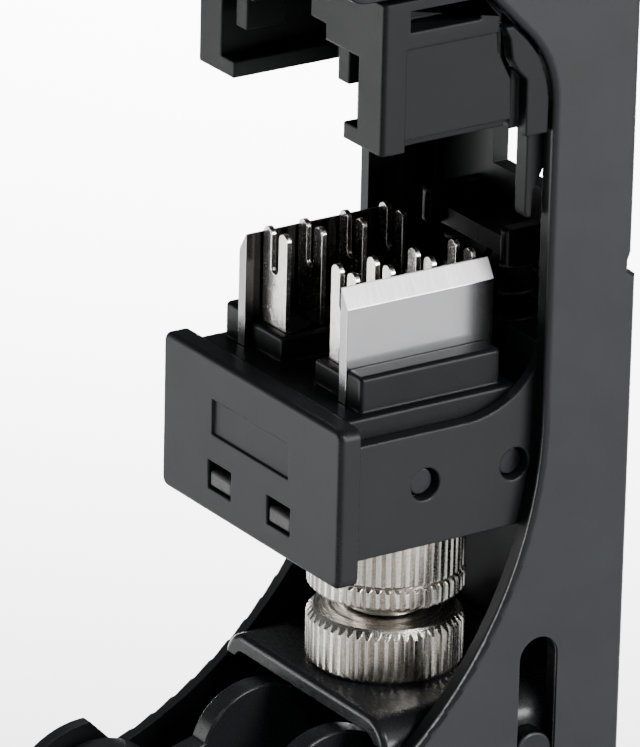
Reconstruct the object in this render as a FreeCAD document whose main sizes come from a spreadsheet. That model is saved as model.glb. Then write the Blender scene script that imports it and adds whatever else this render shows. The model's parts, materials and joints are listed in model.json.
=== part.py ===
"""Squeeze punch down tool for keystone jacks, as a parametric FreeCAD document.

Frame: +Z up along the punch axis, -Y towards the open front of the tool, X across it.
The origin is on the flat foot, straight under the punch axis.
"""
import FreeCAD, Part
import math
import os
import re
import Sketcher
from FreeCAD import Placement, Rotation, Vector

# Driving dimensions, in millimetres and degrees.
SIZES = {
    # housing shells
    "shell_half_width": 14.7, "shell_wall": 1.6, "tool_height": 192, "back_y": 15.1,
    "head_back_y": 14.6, "head_front_y": -16, "head_corner": 6, "foot_front_y": -14, "foot_back_y": 18,
    "bay_edge_y": 5.95, "bay_corner": 9.5, "bay_corner_z": 162.6, "bay_roof_z": 174.7,
    "throat_radius": 38, "throat_top_z": 135.2, "grip_front_y": -9.5, "grip_top_z": 74,
    "step_z": 146.3, "edge_round": 0.6, "slot_y": 6.15, "slot_radius": 2, "slot_low_z": 100.85,
    "slot_high_z": 111.95,
    "window_half_width": 4.3, "window_low_z": 150.2, "window_high_z": 158.5,
    "ledge_low_z": 145.2, "ledge_high_z": 146.9, "ledge_front_y": 7, "ledge_half_width": 6.6,
    # lever
    "pivot_y": -22, "pivot_z": 93, "pivot_radius": 2.5, "nose_radius": 8.6, "ear_inner": 4.75,
    "ear_outer": 6.95,
    "cam_y": 2, "cam_z": 100.6, "cam_radius": 4.7, "ear_radius": 6.5, "hump_radius": 6.3,
    "lever_half_width": 12.4,
    # slide under the die
    "plate_top": 108, "plate_thick": 1.6, "plate_half_width": 9.9, "shoulder": 2.8, "leg_front_y": 1.5,
    "plate_front_y": -8.4,
    "slide_half_width": 12.7, "slide_low_z": 97, "slide_back_y": 12.8, "slide_web_y": 8.7,
    "pin_radius": 1.95, "pin_z": 102.9, "stud_head_radius": 4.1, "stud_head_thick": 2.6,
    "stud_tip_z": 126.8,
    # stud, nuts and washer
    "stud_radius": 2.5, "nut_bore": 2.6, "nut_radius": 6.95, "teeth": 50, "tooth_depth": 0.5,
    "lock_nut_low_z": 108.05, "lock_nut_high_z": 113.1, "washer_thick": 0.85, "washer_radius": 3.35,
    "hub_low_z": 115.07, "hub_groove_z": 117, "hub_top_z": 124, "neck_radius": 3.6,
    "neck_top_z": 127.4, "ring_groove_radius": 3.15, "ring_low_z": 126.15, "ring_radius": 5.3,
    "ring_thick": 0.65,
    # carriage and die
    "front_half_width": 14, "front_y": -14.5, "front_thick": 2.1, "front_low_z": 122.3,
    "front_high_z": 136.75,
    "wall_outer": 12.8, "wall_inner": 11.6, "guide_back_y": 12.9, "wall_low_z": 124.1,
    "wall_high_z": 134.6, "wall_corner": 0.8, "guide_top_z": 140.2,
    "floor_top_z": 126, "die_half_width": 11.5, "die_top_z": 136.55, "die_back_y": 5.2,
    "die_pin_radius": 1.35, "die_pin_z": 129.8, "die_pin_pitch": 9.17, "die_pin_mid_y": -0.34,
    "tongue_depth": 0.15,
    "blade_inner": 7.35, "blade_thick": 1.1, "blade_front_y": -10.4, "blade_back_y": 4.6,
    "blade_top_z": 146.95,
    "ridge_outer": 10.65, "ridge_front_y": -10.3, "ridge_back_y": 4, "ridge_top_z": 139.8,
    "base_inner": 2.6, "base_front_y": -9.7, "base_top_z": 138.8,
    "fork_x": 5.3, "fork_width": 3.7, "fork_thick": 0.5, "fork_gap": 1.1,
    "fork_y_a": -8.8, "fork_y_b": -5.2, "fork_y_c": -1, "fork_y_d": 3.1,
    "fork_top_z": 147.65, "fork_slot_z": 144.2,
    # jack holder and its bracket
    "holder_half_width": 14.2, "holder_front_y": -11.3, "holder_low_z": 160.9, "holder_top_z": 174.2,
    "bracket_top_z": 181, "arm_gap": 0.35,
    "nest_half_width": 10.5, "lip_half_width": 8.45, "lip_top_z": 162.4, "nest_top_z": 168.7,
}


def formula(text):
    """Turn a formula written with plain size names into one that reads the Sizes sheet."""
    return re.sub(r"[a-z_]+", lambda word: "Sizes." + word.group()
                  if word.group() in SIZES else word.group(), str(text))


doc = FreeCAD.newDocument("punch_down_tool")
sheet = doc.addObject("Spreadsheet::Sheet", "Sizes")
for row, (alias, size) in enumerate(SIZES.items(), start=1):
    sheet.set("A%d" % row, alias)
    sheet.set("B%d" % row, str(size))
    sheet.setAlias("B%d" % row, alias)
doc.recompute()


def value(text):
    """The number that a formula comes to."""
    result = sheet.evalExpression(formula(text))
    return float(getattr(result, "Value", result))


def bind(thing, **links):
    """Bind properties to formulas; a double underscore in a name stands for a dot."""
    for name, text in links.items():
        thing.setExpression(name.replace("__", "."), formula(text))


def block(name, x, y, z):
    """A box from pairs of low and high formulas."""
    box = doc.addObject("Part::Box", name)
    bind(box, Length="(%s) - (%s)" % (x[1], x[0]), Width="(%s) - (%s)" % (y[1], y[0]),
         Height="(%s) - (%s)" % (z[1], z[0]))
    bind(box, Placement__Base__x=x[0], Placement__Base__y=y[0], Placement__Base__z=z[0])
    return box


TURNS = {"Z": Rotation(), "X": Rotation(Vector(0, 1, 0), 90), "Y": Rotation(Vector(1, 0, 0), -90)}


def rod(name, radius, base, length, axis="Z", top=None):
    """A cylinder, or a cone when top is given, from its base point along an axis."""
    round_solid = doc.addObject("Part::Cylinder" if top is None else "Part::Cone", name)
    if top is None:
        bind(round_solid, Radius=radius, Height=length)
    else:
        bind(round_solid, Radius1=radius, Radius2=top, Height=length)
    round_solid.Placement = Placement(Vector(), TURNS[axis])
    bind(round_solid, Placement__Base__x=base[0], Placement__Base__y=base[1],
         Placement__Base__z=base[2])
    return round_solid


def join(name, *pieces):
    whole = doc.addObject("Part::MultiFuse", name)
    whole.Shapes = list(pieces)
    whole.Refine = True
    return whole


def trim(name, base, *tools):
    """Cut the tools out of the base."""
    whole = doc.addObject("Part::Cut", name)
    whole.Base = base
    whole.Tool = tools[0] if len(tools) == 1 else join(name + "_tools", *tools)
    return whole


def mirrored(name, source):
    """The same solid on the other side of the X = 0 plane."""
    copy = doc.addObject("Part::Mirroring", name)
    copy.Source = source
    copy.Normal = Vector(1, 0, 0)
    return copy


def rounded(name, base, radius, wanted):
    """Fillet the edges for which wanted(edge) is true."""
    doc.recompute()
    fillet = doc.addObject("Part::Fillet", name)
    fillet.Base = base
    size = value(radius)
    chosen = [number for number, edge in enumerate(base.Shape.Edges, start=1) if wanted(edge)]
    fillet.Edges = [(number, size, size) for number in chosen]
    return fillet


def bevelled(name, base, radius, wanted):
    """Chamfer the edges for which wanted(edge) is true."""
    doc.recompute()
    chamfer = doc.addObject("Part::Chamfer", name)
    chamfer.Base = base
    size = value(radius)
    chosen = [number for number, edge in enumerate(base.Shape.Edges, start=1) if wanted(edge)]
    chamfer.Edges = [(number, size, size) for number in chosen]
    return chamfer


def across(way, low, high):
    """A pair of X formulas on the right side for way 1, or mirrored to the left for way -1."""
    return (low, high) if way > 0 else ("-(%s)" % high, "-(%s)" % low)


def lies_on(edge, **planes):
    """True when the whole edge lies on each plane given, such as x=3."""
    box = edge.BoundBox
    for axis, place in planes.items():
        low = getattr(box, axis.upper() + "Min")
        high = getattr(box, axis.upper() + "Max")
        if abs(low - place) > 0.01 or abs(high - place) > 0.01:
            return False
    return True


def arc_centre(start, end, radius, turn):
    """Centre of the short arc from start to end; turn is 1 anticlockwise and -1 clockwise."""
    chord = end - start
    normal = Vector(-chord.y, chord.x, 0).normalize()
    reach = math.sqrt(max(radius ** 2 - (chord.Length / 2) ** 2, 0))
    return (start + end) * 0.5 + normal * reach * turn


def extrude(name, plane, outline, start, length):
    """A PartDesign body: one pad of an outline whose every corner is bound to the sheet.

    The outline is a list of (first, second) formulas on the plane; a third item (radius, turn)
    makes the side that leaves that corner an arc.
    """
    body = doc.addObject("PartDesign::Body", name)
    sketch = body.newObject("Sketcher::SketchObject", name + "_outline")
    role = [feature for feature in body.Origin.OriginFeatures if feature.Role == plane + "_Plane"][0]
    sketch.AttachmentSupport = [(role, "")]
    sketch.MapMode = "FlatFace"
    bind(sketch, AttachmentOffset__Base__z=start)
    corners = [Vector(value(corner[0]), value(corner[1]), 0) for corner in outline]
    ends = []
    for number, corner in enumerate(outline):
        begin = corners[number]
        finish = corners[(number + 1) % len(corners)]
        if len(corner) == 2:
            sketch.addGeometry(Part.LineSegment(begin, finish))
            ends.append((1, 2))
            continue
        radius, turn = corner[2]
        centre = arc_centre(begin, finish, value(radius), turn)
        first, last = (begin, finish) if turn > 0 else (finish, begin)
        low = math.atan2(first.y - centre.y, first.x - centre.x)
        high = math.atan2(last.y - centre.y, last.x - centre.x)
        high += 2 * math.pi if high < low else 0
        circle = Part.Circle(centre, Vector(0, 0, 1), value(radius))
        sketch.addGeometry(Part.ArcOfCircle(circle, low, high))
        ends.append((1, 2) if turn > 0 else (2, 1))
        rule = sketch.addConstraint(Sketcher.Constraint("Radius", number, value(radius)))
        sketch.setExpression("Constraints[%d]" % rule, formula(radius))
    for number, corner in enumerate(outline):
        following = (number + 1) % len(outline)
        sketch.addConstraint(Sketcher.Constraint("Coincident", number, ends[number][1], following,
                                                 ends[following][0]))
        for kind, axis, place in (("DistanceX", -2, corner[0]), ("DistanceY", -1, corner[1])):
            if abs(value(place)) < 1e-6:
                sketch.addConstraint(Sketcher.Constraint("PointOnObject", number, ends[number][0],
                                                         axis))
                continue
            rule = sketch.addConstraint(Sketcher.Constraint(kind, -1, 1, number, ends[number][0],
                                                            value(place)))
            sketch.setExpression("Constraints[%d]" % rule, formula(place))
    pad = body.newObject("PartDesign::Pad", name + "_pad")
    pad.Profile = sketch
    bind(pad, Length=length)
    sketch.Visibility = False
    return body


NODES = []


def node(name, thing):
    """Name a finished piece; its label is its file name."""
    thing.Label = name
    NODES.append(thing)
    return thing


# --- Housing: two half shells ---------------------------------------------------------------------

SHELL_OUTLINE = [
    ("foot_front_y", 0), ("foot_back_y", 0), ("foot_back_y", 4), ("back_y", 14),
    ("back_y", "step_z - 0.6"),
    ("back_y - 0.8", "step_z"), ("back_y - 0.8", "step_z + 0.7"), ("head_back_y", "step_z + 1.5"),
    ("head_back_y", "tool_height - head_corner", ("head_corner", 1)),
    ("head_back_y - head_corner", "tool_height"),
    ("head_front_y + head_corner", "tool_height", ("head_corner", 1)),
    ("head_front_y", "tool_height - head_corner"), ("head_front_y", "bay_roof_z + 3", (3, 1)),
    ("head_front_y + 3", "bay_roof_z"), ("bay_edge_y + 0.4142 * bay_corner + bay_corner_z - bay_roof_z",
                                         "bay_roof_z"),
    ("bay_edge_y - 0.2929 * bay_corner", "bay_corner_z + 0.7071 * bay_corner", ("bay_corner", -1)),
    ("bay_edge_y", "bay_corner_z"), ("bay_edge_y", "throat_top_z", ("throat_radius", -1)),
    ("pivot_y + 3", "98.6"), ("pivot_y", "pivot_z + nose_radius", ("nose_radius", 1)),
    ("pivot_y - nose_radius", "pivot_z", ("nose_radius", 1)), ("pivot_y", "pivot_z - nose_radius"),
    ("grip_front_y", "grip_top_z - 1"), ("grip_front_y", 10),
]
CAVITY_OUTLINE = [
    ("foot_front_y + shell_wall", "shell_wall"), ("foot_back_y - shell_wall", "shell_wall"),
    ("back_y - shell_wall", 14), ("back_y - shell_wall", "step_z - 1"),
    ("head_back_y - shell_wall", "step_z - 1"),
    ("head_back_y - shell_wall", "tool_height - head_corner"),
    ("head_back_y - head_corner", "tool_height - shell_wall"),
    ("head_front_y + head_corner", "tool_height - shell_wall"),
    ("head_front_y + shell_wall", "tool_height - head_corner"),
    ("head_front_y + shell_wall", "tool_height - 9"), ("head_front_y - 20", "tool_height - 9"),
    ("head_front_y - 20", "grip_top_z"), ("grip_front_y + shell_wall", "grip_top_z"),
    ("grip_front_y + shell_wall", 10),
]
SCREWS = [(4, 22), (4, 66), (10.2, 183), (-9, 186.5)]
SCREW_HEAD_X = -14.3


def housing_shell(side):
    outside = extrude(side + "_outside", "YZ", SHELL_OUTLINE, 0, "shell_half_width")
    face = value("shell_half_width")
    soft = rounded(side + "_soft", outside, "edge_round", lambda edge: lies_on(edge, x=face))
    cavity = extrude(side + "_cavity", "YZ", CAVITY_OUTLINE, -1, "shell_half_width - shell_wall + 1")
    hollow = trim(side + "_hollow", soft, cavity)
    bosses = [rod("%s_boss_%d" % (side, number), 3.3, (0, y, z), "shell_half_width - shell_wall + 0.2",
                  "X")
              for number, (y, z) in enumerate(SCREWS)]
    tray = block(side + "_tray", (0, "ledge_half_width"), ("ledge_front_y + 1.4", "head_back_y - 1"),
                 ("ledge_low_z", "ledge_high_z"))
    rim = block(side + "_rim", ("ledge_half_width - 1.2", "ledge_half_width"),
                ("ledge_front_y", "head_back_y - 1"),
                ("ledge_low_z", "ledge_high_z + 1.6"))
    front = value("ledge_front_y")
    lip = rounded(side + "_lip", rim, 0.55, lambda edge: lies_on(edge, y=front))
    solid = join(side + "_solid", hollow, tray, lip, *bosses)
    slot = [block(side + "_slot", ("shell_half_width - 3", "shell_half_width + 1"),
                  ("slot_y - slot_radius", "slot_y + slot_radius"), ("slot_low_z", "slot_high_z"))]
    slot += [rod("%s_slot_%d" % (side, number), "slot_radius", ("shell_half_width - 3", "slot_y", z), 4,
                 "X")
             for number, z in enumerate(("slot_low_z", "slot_high_z"))]
    window = block(side + "_window", (-1, "window_half_width"), ("head_back_y - 4", "head_back_y + 1"),
                   ("window_low_z", "window_high_z"))
    pivot = rod(side + "_pivot", "pivot_radius", ("shell_half_width - 4", "pivot_y", "pivot_z"), 6, "X")
    return trim(side + "_cut", solid, window, pivot, *slot)


right_shell = housing_shell("right")
left_shell = mirrored("left_shell", housing_shell("left"))
pilots = [rod("pilot_%d" % number, 1.05, (-1, y, z), 12, "X") for number, (y, z) in enumerate(SCREWS)]
node("housing_right", trim("right_drilled", right_shell, *pilots))
clear = [rod("clear_%d" % number, 1.6, (-15, y, z), 16, "X") for number, (y, z) in enumerate(SCREWS)]
sinks = [rod("sink_%d" % number, 2.9, (-15, y, z), 2.2, "X") for number, (y, z) in enumerate(SCREWS)]
node("housing_left", trim("left_drilled", left_shell, *clear, *sinks))


def screw(number, y, z):
    """A pan-head self-tapping screw with a cross recess, head on the left side."""
    shank = rod("shank_%d" % number, 1.04, (-13, y, z), 22.25, "X")
    head = rounded("head_soft_%d" % number,
                   rod("head_%d" % number, 2.6, (SCREW_HEAD_X, y, z), 1.5, "X"), 0.6,
                   lambda edge: lies_on(edge, x=SCREW_HEAD_X))
    arms = [block("cross_%s_%d" % (way, number), (-15, SCREW_HEAD_X + 0.9), (y - wide, y + wide),
                  (z - tall, z + tall))
            for way, wide, tall in (("up", 0.3, 1.35), ("over", 1.35, 0.3))]
    return trim("screw_%d" % number, join("screw_solid_%d" % number, shank, head), *arms)


screws = doc.addObject("Part::Compound", "screws")
screws.Links = [screw(number, y, z) for number, (y, z) in enumerate(SCREWS)]
node("housing_screws", screws)

pin_end = value("shell_half_width") - 0.1
pin_rod = rod("pin_rod", "pivot_radius - 0.02", (-pin_end, "pivot_y", "pivot_z"), 2 * pin_end, "X")
pin_round = rounded("pin_round", pin_rod, 0.4,
                    lambda edge: lies_on(edge, x=pin_end) or lies_on(edge, x=-pin_end))
node("lever_pin", pin_round)

# --- Lever: steel frame with two ears, moulded grip, rivets ---------------------------------------

EAR_OUTLINE = [
    ("pivot_y", "pivot_z - ear_radius", ("ear_radius", -1)),
    ("pivot_y - ear_radius", "pivot_z", ("ear_radius", -1)),
    ("pivot_y", "pivot_z + ear_radius"), (-15.4, 101.2, ("hump_radius", -1)),
    (-9.3, 105.5, ("hump_radius", -1)),
    (-5.2, 104), ("cam_y - 2.6", "cam_z + 3.7"), ("cam_y - 2.2", "cam_z + 4.15", ("cam_radius", -1)),
    ("cam_y + cam_radius", "cam_z", ("cam_radius", -1)), ("cam_y", "cam_z - cam_radius"), (-6, 94.5),
]


def lever_frame():
    ears = []
    for side, start in (("right", "ear_inner"), ("left", "-ear_outer")):
        plate = extrude(side + "_ear", "YZ", EAR_OUTLINE, start, "ear_outer - ear_inner")
        shank = extrude(side + "_shank", "YZ",
                        [("pivot_y - 6.3", "pivot_z - 1"), (-45.2, 42), (-40.6, 42),
                                                ("pivot_y + 3.5", "pivot_z - 5.4")], start,
                                                "ear_outer - ear_inner")
        ears += [plate, shank]
    web = extrude("web", "YZ", [(-32.1, 80), (-45.2, 42), (-43.6, 42), (-30.5, 80)], "-ear_inner - 0.2",
                  "2 * ear_inner + 0.4")
    bore = rod("frame_bore", "pivot_radius + 0.04", (-20, "pivot_y", "pivot_z"), 40, "X")
    holes = [rod("frame_hole_%d" % number, 1.52, (-20, y, z), 40, "X") for number,
             (y, z) in enumerate(RIVETS)]
    return trim("frame_cut", join("frame_solid", web, *ears), bore, *holes)


RIVETS = [(-32.6, 68), (-41, 47)]
GRIP_OUTLINE = [
    ("pivot_y + 7.2", "pivot_z", (7.2, 1)), ("pivot_y", "pivot_z + 7.2", (7.2, 1)),
    ("pivot_y - 7.2", "pivot_z", (160, 1)),
    (-54.6, 19, (4.4, 1)), (-50.2, 14.6, (4.4, 1)), (-45.9, 18.4, (170, -1)), (-17.6, 82),
]


def lever_grip():
    width = value("lever_half_width")
    solid = extrude("grip_solid", "YZ", GRIP_OUTLINE, "-lever_half_width", "2 * lever_half_width")
    hub = value("pivot_z") - 12
    soft = rounded("grip_soft", solid, 1.5,
                   lambda edge: (lies_on(edge, x=width) or lies_on(edge, x=-width))
                   and edge.BoundBox.ZMin < hub)
    groove = extrude("grip_groove", "YZ",
                     [("pivot_y - 6.6", "pivot_z + 20"), ("pivot_y - 6.6", "pivot_z - 1.2"),
                      (-45.9, 41.5),
                                           (-20, 41.5), (0, 60), (0, "pivot_z + 20")],
                                           "-ear_outer - 0.1", "2 * ear_outer + 0.2")
    relief = extrude("grip_relief", "YZ", [(-51, 21.5), (-30, 21.5), (-20, 39.5), (-46.5, 39.5)], -9.4,
                     18.8)
    bore = rod("grip_bore", "pivot_radius + 0.04", (-20, "pivot_y", "pivot_z"), 40, "X")
    holes = [rod("grip_hole_%d" % number, 1.52, (-20, y, z), 40, "X") for number,
             (y, z) in enumerate(RIVETS)]
    sinks = [rod("grip_sink_%s_%d" % (side, number), 2.6, (start, y, z), 8, "X")
             for number, (y, z) in enumerate(RIVETS) for side,
             start in (("right", 11.4), ("left", -19.4))]
    return trim("grip_cut", soft, groove, relief, bore, *holes, *sinks)


def rivet(number, y, z):
    shank = rod("rivet_shank_%d" % number, 1.5, (-11.6, y, z), 23.2, "X")
    heads = [rod("rivet_head_%s_%d" % (side, number), 2.5, (start, y, z), 0.7, "X")
             for side, start in (("right", 11.45), ("left", -12.15))]
    return join("rivet_%d" % number, shank, *heads)


node("lever_frame", lever_frame())
node("lever_grip", lever_grip())
rivets = doc.addObject("Part::Compound", "rivets")
rivets.Links = [rivet(number, y, z) for number, (y, z) in enumerate(RIVETS)]
node("lever_rivets", rivets)

# --- Slide: plate, block, guide pins and stud -----------------------------------------------------

CHANNEL_OUTLINE = [
    ("plate_half_width", "plate_top"), ("-plate_half_width", "plate_top", ("shoulder", 1)),
    ("-slide_half_width", "plate_top - shoulder"), ("-slide_half_width", "slide_low_z"),
    ("-slide_half_width + plate_thick", "slide_low_z"),
    ("-slide_half_width + plate_thick", "plate_top - shoulder", ("shoulder - plate_thick", -1)),
    ("-plate_half_width", "plate_top - plate_thick"),
    ("plate_half_width", "plate_top - plate_thick", ("shoulder - plate_thick", -1)),
    ("slide_half_width - plate_thick", "plate_top - shoulder"),
    ("slide_half_width - plate_thick", "slide_low_z"),
    ("slide_half_width", "slide_low_z"), ("slide_half_width", "plate_top - shoulder", ("shoulder", 1)),
]
plate = extrude("plate_channel", "XZ", CHANNEL_OUTLINE, "-slide_back_y", "slide_back_y - plate_front_y")
plate_soft = rounded("plate_soft", plate, 0.6, lambda edge: lies_on(edge, y=value("plate_front_y"))
                     and edge.BoundBox.ZMin > value("plate_top - shoulder") - 0.1
                     and edge.BoundBox.ZMax > value("plate_top") - 0.1)
plate_holes = [rod("stud_hole", "stud_radius", (0, 0, 90), 30),
               rod("pin_holes", "pin_radius", (-20, "slot_y", "pin_z"), 40, "X"),
               block("leg_relief", (-20, 20), ("plate_front_y - 1", "leg_front_y"),
                     (90, "plate_top - shoulder + 0.5"))]
node("pusher_plate", trim("plate_drilled", plate_soft, *plate_holes))

web_width = "slide_half_width - plate_thick - 0.05"
web_height = ("slide_low_z", "plate_top - shoulder - 0.3")
web = block("slide_web", ("-(%s)" % web_width, web_width), ("slide_web_y", "slide_back_y"), web_height)
cheeks = [block("cheek_" + side, (low, high), (3, "slide_back_y"), web_height)
          for side, low, high in (("right", 8, web_width), ("left", "-(%s)" % web_width, -8))]
slide_solid = join("slide_solid", web, *cheeks)
sockets = rod("pin_sockets", "pin_radius", (-20, "slot_y", "pin_z"), 40, "X")
node("slide_block", trim("slide_cut", slide_solid, sockets))
for side, start in (("right", 8.4), ("left", -14.4)):
    pin = rod("guide_" + side, "pin_radius", (start, "slot_y", "pin_z"), 6, "X")
    end = value(start + 6 if start > 0 else start)
    node("guide_pin_" + side, rounded("guide_soft_" + side, pin, 0.3,
                                      lambda edge: lies_on(edge, x=end)))

stud_rod = rod("stud_rod", "stud_radius", (0, 0, "plate_top - plate_thick"),
               "stud_tip_z - plate_top + plate_thick")
stud_tip = bevelled("stud_tip", stud_rod, 0.5, lambda edge: lies_on(edge, z=value("stud_tip_z")))
stud_head = rod("stud_head", "stud_head_radius", (0, 0, "plate_top - plate_thick - stud_head_thick"),
                "stud_head_thick")
node("stud", join("stud_solid", stud_tip, stud_head))

# --- Nuts and washer on the stud ------------------------------------------------------------------


def knurled(name, low, high, radius, bevel):
    """A drum with straight teeth round it and bevelled rims."""
    drum = doc.addObject("PartDesign::Body", name)
    base = drum.newObject("Sketcher::SketchObject", name + "_teeth")
    plane = [feature for feature in drum.Origin.OriginFeatures if feature.Role == "XY_Plane"][0]
    base.AttachmentSupport = [(plane, "")]
    base.MapMode = "FlatFace"
    bind(base, AttachmentOffset__Base__z=low)
    count = int(value("teeth"))
    pitch = 2 * math.pi / count
    crest = value(radius)
    root = crest - value("tooth_depth")
    ring = []
    for tooth in range(count):
        for share, reach in ((-0.4, root), (-0.27, crest), (0.27, crest), (0.4, root)):
            turn = (tooth + share) * pitch
            ring.append(Vector(reach * math.cos(turn), reach * math.sin(turn), 0))
    for number, corner in enumerate(ring):
        base.addGeometry(Part.LineSegment(corner, ring[(number + 1) % len(ring)]))
    base.addConstraint([Sketcher.Constraint("Coincident", number, 2, (number + 1) % len(ring), 1)
                        for number in range(len(ring))])
    pad = drum.newObject("PartDesign::Pad", name + "_pad")
    pad.Profile = base
    bind(pad, Length="(%s) - (%s)" % (high, low))
    cones = [rod(name + "_low_cone", "%s - %s" % (radius, bevel), (0, 0, low), "%s * 1.2" % bevel,
                 top="%s + %s * 0.2" % (radius, bevel)),
             rod(name + "_waist", "%s + %s * 0.2" % (radius, bevel),
                 (0, 0, "%s + %s * 1.2" % (low, bevel)),
                 "(%s) - (%s) - %s * 2.4" % (high, low, bevel)),
             rod(name + "_high_cone", "%s + %s * 0.2" % (radius, bevel),
                 (0, 0, "%s - %s * 1.2" % (high, bevel)), "%s * 1.2" % bevel,
                 top="%s - %s" % (radius, bevel))]
    shape = doc.addObject("Part::Common", name + "_shaped")
    shape.Base = drum
    shape.Tool = join(name + "_envelope", *cones)
    return shape


thread = rod("nut_thread", "nut_bore", (0, 0, 100), 40)
lock_drum = knurled("lock_drum", "lock_nut_low_z", "lock_nut_high_z", "nut_radius", 0.6)
node("lock_nut", trim("lock_cut", lock_drum, thread))
washer_split = block("washer_split", (2, 7), (-0.4, 0), (100, 120))
washer_disc = rod("washer_disc", "washer_radius", (0, 0, "lock_nut_high_z + 0.02"), "washer_thick")
washer_bore = rod("washer_bore", "nut_bore + 0.05", (0, 0, 100), 20)
node("lock_washer", trim("washer_cut", washer_disc, washer_bore, washer_split))

hub_low = knurled("hub_low", "hub_low_z", "hub_groove_z", "nut_radius", 0.35)
hub_high = knurled("hub_high", "hub_groove_z + 0.35", "hub_top_z", "nut_radius - 0.1", 0.35)
hub_waist = rod("hub_waist", "nut_radius - tooth_depth - 0.35", (0, 0, "hub_low_z + 0.5"), 8)
hub_neck = rod("hub_neck", "neck_radius", (0, 0, "hub_top_z - 0.5"), "neck_top_z - hub_top_z + 0.5")
groove_out = rod("groove_out", "neck_radius + 1", (0, 0, "ring_low_z"), "ring_thick + 0.1")
groove_in = rod("groove_in", "ring_groove_radius", (0, 0, "ring_low_z"), "ring_thick + 0.1")
neck_groove = trim("neck_groove", groove_out, groove_in)
node("adjuster_hub", trim("hub_cut", join("hub_solid", hub_low, hub_high, hub_waist, hub_neck), thread,
                          neck_groove))
ring_disc = rod("ring_disc", "ring_radius", (0, 0, "ring_low_z + 0.05"), "ring_thick")
ring_bore = rod("ring_bore", "ring_groove_radius + 0.05", (0, 0, "ring_low_z - 1"), 3)
ring_gap = block("ring_gap", (-1.6, 1.6), (0, 6), (126, 128))
node("hub_ring", trim("ring_cut", ring_disc, ring_bore, ring_gap))

# --- Carriage -------------------------------------------------------------------------------------

WALL_OUTLINE = [
    ("front_y + 0.5", "wall_low_z"), ("guide_back_y", "wall_low_z"), ("guide_back_y", "guide_top_z"),
    (7.2, "guide_top_z"), (6.6, "guide_top_z - 0.8"), (6.2, "wall_high_z + 3.6", (8.5, -1)), (-0.75, "wall_high_z"),
    ("front_y + front_thick + wall_corner", "wall_high_z", ("wall_corner", 1)),
    ("front_y + front_thick", "wall_high_z - wall_corner"), ("front_y + 0.5", "wall_high_z - wall_corner"),
]


def carriage():
    front = block("front_flat", ("-front_half_width", "front_half_width"),
                  ("front_y", "front_y + front_thick"),
                  ("front_low_z", "front_high_z"))
    corners = rounded("front_corners", front, 0.9,
                      lambda edge: edge.BoundBox.YLength > 1 and edge.BoundBox.XLength < 0.01)
    face = value("front_y")
    soft = rounded("front_soft", corners, 0.55, lambda edge: lies_on(edge, y=face))
    walls = []
    for side, start in (("right", "wall_inner"), ("left", "-wall_outer")):
        walls.append(extrude(side + "_wall", "YZ", WALL_OUTLINE, start, "wall_outer - wall_inner"))
    floor = block("carriage_floor", ("-wall_inner - 0.5", "wall_inner + 0.5"),
                  ("front_y + 1", "guide_back_y"), ("wall_low_z", "floor_top_z - 0.05"))
    back = block("carriage_back", ("-wall_inner - 0.5", "wall_inner + 0.5"), (5.3, 7),
                 ("wall_low_z", "wall_high_z"))
    guides = [block("guide_block_" + side, (low, high), (6.9, "guide_back_y"),
                    ("wall_low_z", "guide_top_z"))
              for side, low, high in (("right", 7, "wall_inner + 0.5"),
                                      ("left", "-wall_inner - 0.5", -7))]
    whole = join("carriage_solid", soft, floor, back, *walls, *guides)
    cuts = [block("label_recess", (-6, 6), ("front_y - 1", "front_y + 0.3"), (129.8, 133))]
    for side, x in (("right", 4.65), ("left", -4.65)):
        cuts.append(block("snap_window_" + side, (x - 1.8, x + 1.8), ("front_y - 1", "front_y + 3"),
                          (124.65, 127.25)))
    cuts.append(rod("neck_hole", "neck_radius + 0.06", (0, 0, 120), 10))
    for number, way in enumerate((-0.5, 0.5)):
        cuts.append(rod("wall_hole_%d" % number, 1.45,
                        (-20, "die_pin_mid_y + (%s) * die_pin_pitch" % way, "die_pin_z"), 40, "X"))
    return trim("carriage_cut", whole, *cuts)


node("carriage", carriage())

# --- Die block, pins, blades and forks ------------------------------------------------------------


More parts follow.
